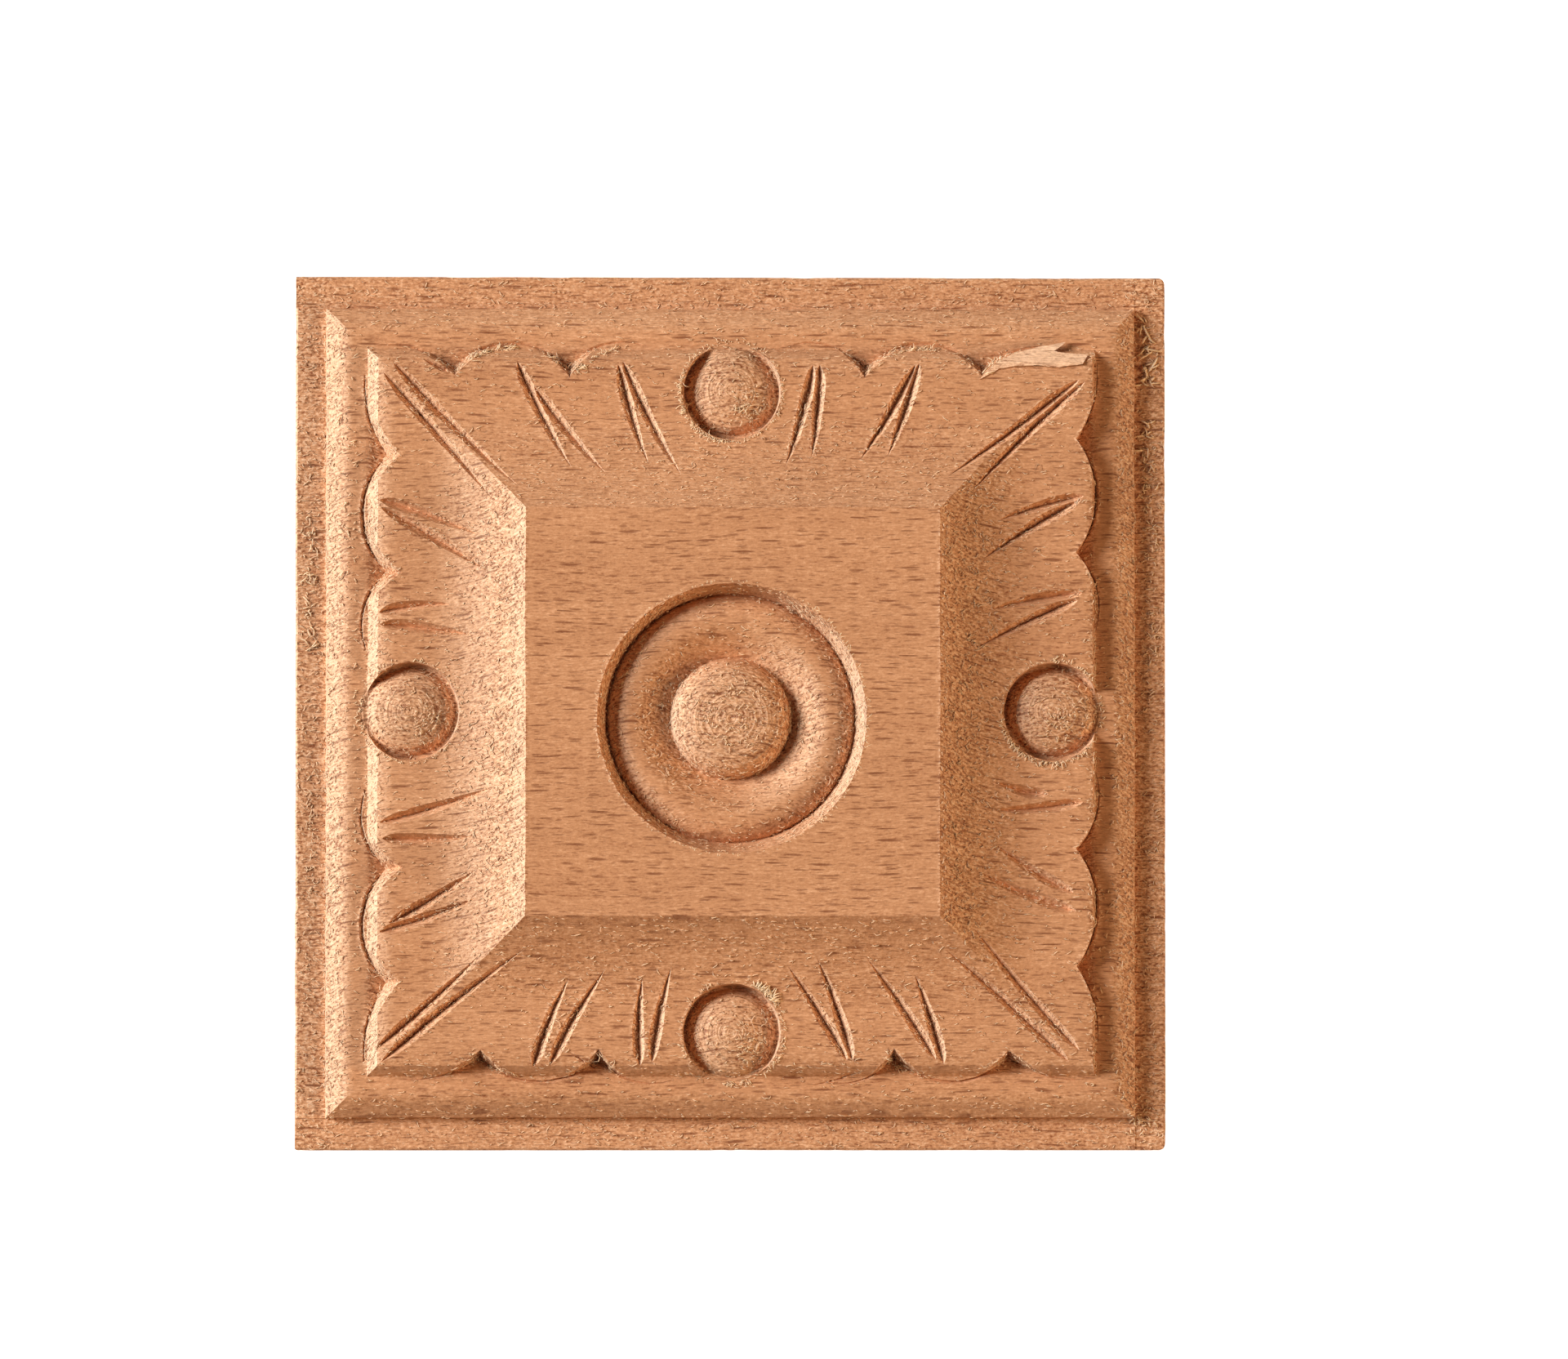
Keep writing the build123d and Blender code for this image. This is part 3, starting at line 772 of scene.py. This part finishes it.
def fibrePaths(own, spot, normal, tornHere):
    # slivers that leave the surface, bow over and come down to it again
    count = len(spot)
    cleanYaw, tornYaw = fuzz["yaw"]
    yaw = np.radians(cleanYaw + (tornYaw - cleanYaw) * tornHere) * own.normal(size=count)
    flat = np.stack([np.cos(yaw), np.sin(yaw), np.zeros(count)], 1) * own.choice((-1, 1), count)[:, None]
    ahead = flat - normal * (flat * normal).sum(1)[:, None]
    ahead /= np.maximum(np.linalg.norm(ahead, axis=1), 1e-9)[:, None]
    beside = np.cross(normal, ahead)
    shortest, usual, longest = fuzz["length"]
    length = np.clip(usual * np.exp(fuzz["vary"] * own.normal(size=count)), shortest, longest)
    bow = own.normal(size=count) * fuzz["bend"] * length
    rise = fuzz["lift"] * (0.5 + own.random(count)) * (0.55 + 0.6 * tornHere)
    stations = []
    for share, up in fuzz["arch"]:
        place = spot + ahead * (length * (share - 0.5))[:, None]
        place = place + beside * (bow * 4 * share * (1 - share))[:, None] + normal * (rise * up)[:, None]
        stations.append(place)
    low, high = fuzz["thickness"]
    return np.stack(stations, 1), (low + (high - low) * own.random(count)) / 2


own, spot, normal, tornHere, expected = scatterFibres(fuzz["count"], fuzz["seed"])
print("fibres asked for by density", int(expected))
fibreWood = woodMaterial("fibreWood", {**wood, **fuzz["look"]})
addFibres("standingFibres", *fibrePaths(own, spot, normal, tornHere), fibreWood)


# long curls, tufts and frayed edges, where the photo has them
curls = {
    "seed": 9,
    "steps": 6,               # points along a curl
    "vary": 0.4,              # how much the length differs, as a share in powers of e
    "turn": 1.5,              # radians a usual curl turns
    "fan": 0.7,               # radians that it strays from outward along a rim
    "rise": (0.22, 0.06, 0.4),  # height by length, least and most in mm
    "thick": (0.043, 0.11, 0.5),  # mm, growth with a usual length beyond the third value
    "spread": (0.6, 0.12, 0.07),  # in tufts as a share, across rims and frays in mm
    # paler than the block: partly the pale colour of raised fibres, partly a painted highlight standing in
    # for key light that the carving's shadows keep off them
    "look": {"wood": srgb(251, 212, 166), "pale": srgb(254, 230, 196)},
    # where long curls and tufts stand: centre in mm, spread, count, usual length
    "tufts": (
        ((38.4, 32.6), (0.55, 3.4), 34, 1.05),
        ((38.4, 25.6), (0.5, 1.4), 14, 0.9),
        ((38.4, 21.0), (0.7, 3.0), 16, 0.7),
        ((38.6, 14.0), (0.6, 9.0), 46, 0.6),
        ((30.4, 4.6), (1.0, 0.8), 16, 0.6),
        ((-38.6, 12.0), (0.6, 6.0), 60, 0.7),
        ((-38.6, -12.0), (0.6, 14.0), 70, 0.5),
        ((-35.4, 22.0), (0.8, 9.0), 40, 0.6),
        ((37.6, -37.2), (1.2, 1.6), 40, 0.6),
        ((34.5, -20.0), (2.0, 14.0), 60, 0.4),
        ((0.0, -0.7), (2.6, 2.6), 90, 0.45),
        ((1.6, 28.0), (1.5, 1.2), 70, 0.5),
        ((1.8, -31.0), (1.2, 1.6), 60, 0.45),
        ((-27.8, -1.2), (1.2, 1.8), 50, 0.45),
        ((30.2, -1.2), (1.4, 1.6), 50, 0.45),
    ),
    # frayed rims: centre, radius, first and last angle in degrees, count, usual length
    "rims": (
        ((0.0, 29.4), 4.55, 165, 262, 150, 0.5),
        ((0.0, 29.4), 4.55, -100, 165, 150, 0.3),
        ((0.2, -29.4), 4.55, 112, 215, 120, 0.45),
        ((0.2, -29.4), 4.6, 38, 66, 110, 0.7),
        ((0.2, -29.4), 4.55, -100, 38, 90, 0.32),
        ((29.4, 0.0), 4.55, 190, 285, 130, 0.5),
        ((29.4, 0.0), 4.55, -75, 190, 130, 0.3),
        ((-29.4, 0.0), 4.55, 120, 280, 90, 0.35),
        ((-29.4, 0.0), 4.55, -80, 120, 70, 0.26),
        ((-0.1, -0.7), 12.3, -50, 60, 150, 0.34),
        ((-0.1, -0.7), 12.3, 60, 310, 150, 0.24),
    ),
    # frayed edges: route in mm, count, usual length
    "frays": (
        (((-25.3, 31.1), (-24.2, 32.2), (-22.6, 33.1), (-20.0, 33.4)), 120, 0.6),
        (((-17.0, 32.8), (-15.4, 31.6), (-14.6, 31.1), (-12.6, 32.6), (-10.6, 33.4)), 90, 0.5),
        (((12.0, 31.0), (13.6, 32.4), (16.0, 33.3), (19.0, 33.3)), 80, 0.5),
        (((22.9, 30.9), (24.4, 32.2), (26.0, 33.0)), 60, 0.6),
        (((-24.0, -31.2), (-22.4, -32.4), (-20.0, -33.2)), 50, 0.4),
        (((14.0, -31.6), (15.2, -32.6), (18.0, -33.3)), 40, 0.4),
        (((-34.6, 29.0), (-34.6, 12.0), (-34.6, -12.0), (-34.6, -29.0)), 60, 0.4),
        (((-26.6, 22.5), (-26.2, 12.0), (-26.4, -16.0)), 30, 0.35),
    ),
}


def curlPaths(own, places, usual, ahead=None):
    # hairs that rise from the surface and curl over
    count = len(places)
    length = usual * np.clip(np.exp(curls["vary"] * own.normal(size=count)), 0.4, 2.0)
    if ahead is None:
        yaw = own.uniform(0, 2 * math.pi, count)
    else:
        yaw = ahead + own.normal(size=count) * curls["fan"]
    curl = own.normal(size=count) * curls["turn"]
    byLength, least, most = curls["rise"]
    rise = np.minimum(byLength * length + least, most) * (0.6 + 0.8 * own.random(count))
    spots, levels = [], []
    place = places.copy()
    steps = curls["steps"]
    for k in range(steps):
        spots.append(place.copy())
        place = place + np.stack([np.cos(yaw), np.sin(yaw)], 1) * (length / (steps - 1))[:, None]
        yaw = yaw + curl / steps
    ground = np.zeros(count)
    ok = np.ones(count, bool)
    for i, (x, y) in enumerate(places):
        found = frontTree.ray_cast(Vector((x, y, 50)), Vector((0, 0, -1)))
        ok[i] = found[0] is not None
        ground[i] = found[0].z if ok[i] else 0
    for k in range(steps):
        share = k / (steps - 1)
        levels.append(ground + rise * (math.sin(math.pi * min(1, share * 1.15 + 0.05)) - 0.15))
    paths = np.stack([np.column_stack([xy, z]) for xy, z in zip(spots, levels)], 1)
    paths[:, 1:, 2] = np.minimum(paths[:, 1:, 2], inside[1][2] - 0.02)
    thin, growth, longer = curls["thick"]
    thick = thin + growth * max(0, usual - longer)
    return paths[ok], (thick * own.uniform(0.75, 1.25, count))[ok]


own = np.random.default_rng(curls["seed"])
inTufts, onRims, onFrays = curls["spread"]
grown = []
for centre, spread, count, usual in curls["tufts"]:
    strewn = np.clip(own.normal(size=(count, 2)) * inTufts, -1, 1)
    grown.append(curlPaths(own, np.array(centre) + strewn * np.array(spread), usual))
for centre, radius, first, last, count, usual in curls["rims"]:
    angle = np.radians(own.uniform(first, last, count))
    away = (radius + onRims * own.normal(size=count))[:, None]
    places = np.array(centre) + away * np.column_stack([np.cos(angle), np.sin(angle)])
    grown.append(curlPaths(own, places, usual, angle))
for line, count, usual in curls["frays"]:
    route = np.array(line, float)
    reach = np.concatenate([[0], np.cumsum(np.hypot(*np.diff(route, axis=0).T))])
    along = own.uniform(0, reach[-1], count)
    places = np.column_stack([np.interp(along, reach, route[:, i]) for i in (0, 1)])
    places = places + onFrays * own.normal(size=places.shape)
    grown.append(curlPaths(own, places, usual, np.zeros(count)))
curlWood = woodMaterial("curlWood", {**wood, **fuzz["look"], **curls["look"]})
addFibres("curledFibres", *(np.concatenate(parts) for parts in zip(*grown)), curlWood)


# torn flake over the corner lobe at the top right, in mm
flake = {
    "outline": (
        (22.7, 30.45), (23.8, 31.6), (25.0, 32.5), (26.45, 33.1), (27.95, 33.5), (29.45, 33.8),
        (30.7, 34.05), (30.2, 33.6), (29.6, 33.15), (31.1, 32.95), (32.65, 32.8), (32.15, 31.95),
        (29.95, 31.6), (27.95, 31.8), (26.05, 31.7), (24.55, 31.5),
    ),
    "parts": 4,                    # points made of each side of the outline
    "acrossX": (22.5, 33, 0.28),   # first, last and step of the points inside
    "acrossY": (30.2, 34.2, 0.24),
    "shake": 0.05,                 # how far these are moved
    "clear": 0.12,                 # kept free of them along the outline
    "wander": (0.05, 0.07),        # how far the outline strays, and the top goes up and down
    "thickness": 0.2,
    "top": 13.92,                  # level of its upper face
    "edge": 32.1,                  # Y beyond which it falls
    "fall": 0.72,                  # by this much for each mm
    "shadeSharp": 40,              # degrees between two faces that are shaded as an edge
    "look": {"wood": srgb(236, 182, 142), "pale": srgb(250, 214, 182), "rayAmount": 0.5, "streaks": 1.3},
}


def makeFlake():
    outline = np.array(flake["outline"])
    shares = (np.arange(flake["parts"]) / flake["parts"])[:, None]
    rounded = np.concatenate([a + (b - a) * shares for a, b in zip(outline, np.roll(outline, -1, 0))])
    spots = np.column_stack([rounded, rounded[:, 0] * 0])
    sideways, upDown = flake["wander"]
    rounded += sideways * np.column_stack([smoothNoise(spots, 0.5, k) for k in (71, 72)])
    count = len(rounded)
    gx, gy = np.meshgrid(np.arange(*flake["acrossX"]), np.arange(*flake["acrossY"]))
    shake = rng.uniform(-flake["shake"], flake["shake"], (gx.size, 2))
    grid = np.column_stack([gx.ravel(), gy.ravel()]) + shake
    clear = np.sqrt(((grid[:, None] - rounded[None]) ** 2).sum(2)).min(1) > flake["clear"]
    links = [(i, (i + 1) % count) for i in range(count)]
    places = [Vector(q) for q in rounded] + [Vector(q) for q in grid[clear]]
    made, _, triangles, _, _, _ = delaunay_2d_cdt(places, links, [], 1, 1e-6)
    xy = np.array([tuple(q) for q in made])
    triangles = np.array([tuple(f) for f in triangles])
    level = flake["top"] - np.maximum(0, xy[:, 1] - flake["edge"]) * flake["fall"]
    level += upDown * smoothNoise(np.column_stack([xy, xy[:, 0] * 0]), (2.2, 0.5, 1.0), 73)
    a, b, c = (xy[triangles[:, i]] for i in range(3))
    if (np.cross(b - a, c - a) < 0).mean() > 0.5:
        triangles = triangles[:, ::-1]
    rim = openEdges(triangles)
    total = len(xy)
    walls = [(p, p + total, q) for p, q in rim] + [(q, p + total, q + total) for p, q in rim]
    points = np.concatenate([np.column_stack([xy, level]), np.column_stack([xy, level - flake["thickness"]])])
    faces = np.concatenate([triangles, triangles[:, ::-1] + total, np.array(walls)])
    mesh = fastMesh("tornFlake", points, faces)
    mesh.set_sharp_from_angle(angle=math.radians(flake["shadeSharp"]))
    piece = newObject("tornFlake", mesh, woodMaterial("flakeWood", {**wood, **flake["look"]}))
    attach(piece, "root")
    print("flake", len(faces), "faces")


makeFlake()


# floor, light and camera
studio = {
    "floorColor": srgb(244, 243, 241),
    "floorHalf": 3.0,           # m from the middle to its edges
    "floorLift": 0.93,          # light given off towards the camera, so that the floor reads white
    "lamps": {                  # azimuth from +X towards +Y and elevation in degrees, watts, colour
        "keyLamp": (163, 32, 21.3, (1.0, 0.96, 0.9)),
        "fillLamp": (343, 25, 8.8, (1.0, 0.67, 0.37)),
    },
    "lampSize": (0.52, 0.52),   # m
    "lampDistance": 1.2,        # m from the block
    "fill": 0.045,              # light from all round
    "fillColor": (1.0, 0.9, 0.82),
}


def makeFloor():
    mesh = bpy.data.meshes.new("studioFloor")
    half = studio["floorHalf"]
    corners = [(-half, -half, 0), (half, -half, 0), (half, half, 0), (-half, half, 0)]
    mesh.from_pydata(corners, [], [(0, 1, 2, 3)])
    material, n = newMaterial("paleFloor")
    seen = n.add("ShaderNodeLightPath").outputs["Is Camera Ray"]
    texture = n.noise(n.add("ShaderNodeTexCoord").outputs["Object"], 2.0)
    tint = n.mix(n.between(texture, 0, 1, 0.0, 0.04), studio["floorColor"], srgb(230, 229, 227))
    matt = n.add("ShaderNodeBsdfDiffuse", {"Color": tint})
    lift = n.math("MULTIPLY", seen, studio["floorLift"])
    glow = n.add("ShaderNodeEmission", {"Color": (1, 1, 1, 1), "Strength": lift})
    both = n.add("ShaderNodeAddShader", {0: matt.outputs[0], 1: glow.outputs[0]})
    n.add("ShaderNodeOutputMaterial", {"Surface": both.outputs[0]})
    made = newObject("studioFloor", mesh, material)


def makeLamp(name, azimuth, elevation, watts, color):
    light = bpy.data.lights.new(name, "AREA")
    light.shape = "RECTANGLE"
    light.size, light.size_y = studio["lampSize"]
    light.energy = watts
    light.color = color
    lamp = bpy.data.objects.new(name, light)
    bpy.context.scene.collection.objects.link(lamp)
    a, e = math.radians(azimuth), math.radians(elevation)
    away = Vector((math.cos(a) * math.cos(e), math.sin(a) * math.cos(e), math.sin(e)))
    lamp.location = away * studio["lampDistance"]
    lamp.rotation_euler = away.to_track_quat("Z", "Y").to_euler()


makeFloor()
for lampName, lampSettings in studio["lamps"].items():
    makeLamp(lampName, *lampSettings)
world = bpy.data.worlds.new("studioWorld")
bpy.context.scene.world = world
world.use_nodes = True
world.node_tree.nodes.clear()
n = Nodes(world.node_tree)
fillLight = n.add("ShaderNodeBackground", {"Color": (*studio["fillColor"], 1), "Strength": studio["fill"]})
whiteWall = n.add("ShaderNodeBackground", {"Color": (1, 1, 1, 1), "Strength": 1.0})
seen = n.add("ShaderNodeLightPath").outputs["Is Camera Ray"]
shown = n.add("ShaderNodeMixShader", {0: seen, 1: fillLight.outputs[0], 2: whiteWall.outputs[0]})
n.add("ShaderNodeOutputWorld", {"Surface": shown.outputs[0]})

cameraSpot = {
    "place": (-23.0, -34.0, 1009.6),   # mm
    "target": (4.9, 3.1, 9.6),
    "lens": 250.0,
    "sensor": 36.0,
    "clip": (0.05, 20.0),   # m
}
cameraData = bpy.data.cameras.new("mainCamera")
cameraData.lens = cameraSpot["lens"]
cameraData.sensor_width = cameraSpot["sensor"]
cameraData.clip_start, cameraData.clip_end = cameraSpot["clip"]
camera = bpy.data.objects.new("mainCamera", cameraData)
bpy.context.scene.collection.objects.link(camera)
place, target = Vector(cameraSpot["place"]) * mm, Vector(cameraSpot["target"]) * mm
back = (place - target).normalized()
right = Vector((0, 1, 0)).cross(back).normalized()
upward = back.cross(right)
camera.matrix_world = Matrix.Translation(place) @ Matrix((right, upward, back)).transposed().to_4x4()
bpy.context.scene.camera = camera
bpy.context.scene.view_settings.view_transform = "Standard"
print("floor, lamps and camera placed")
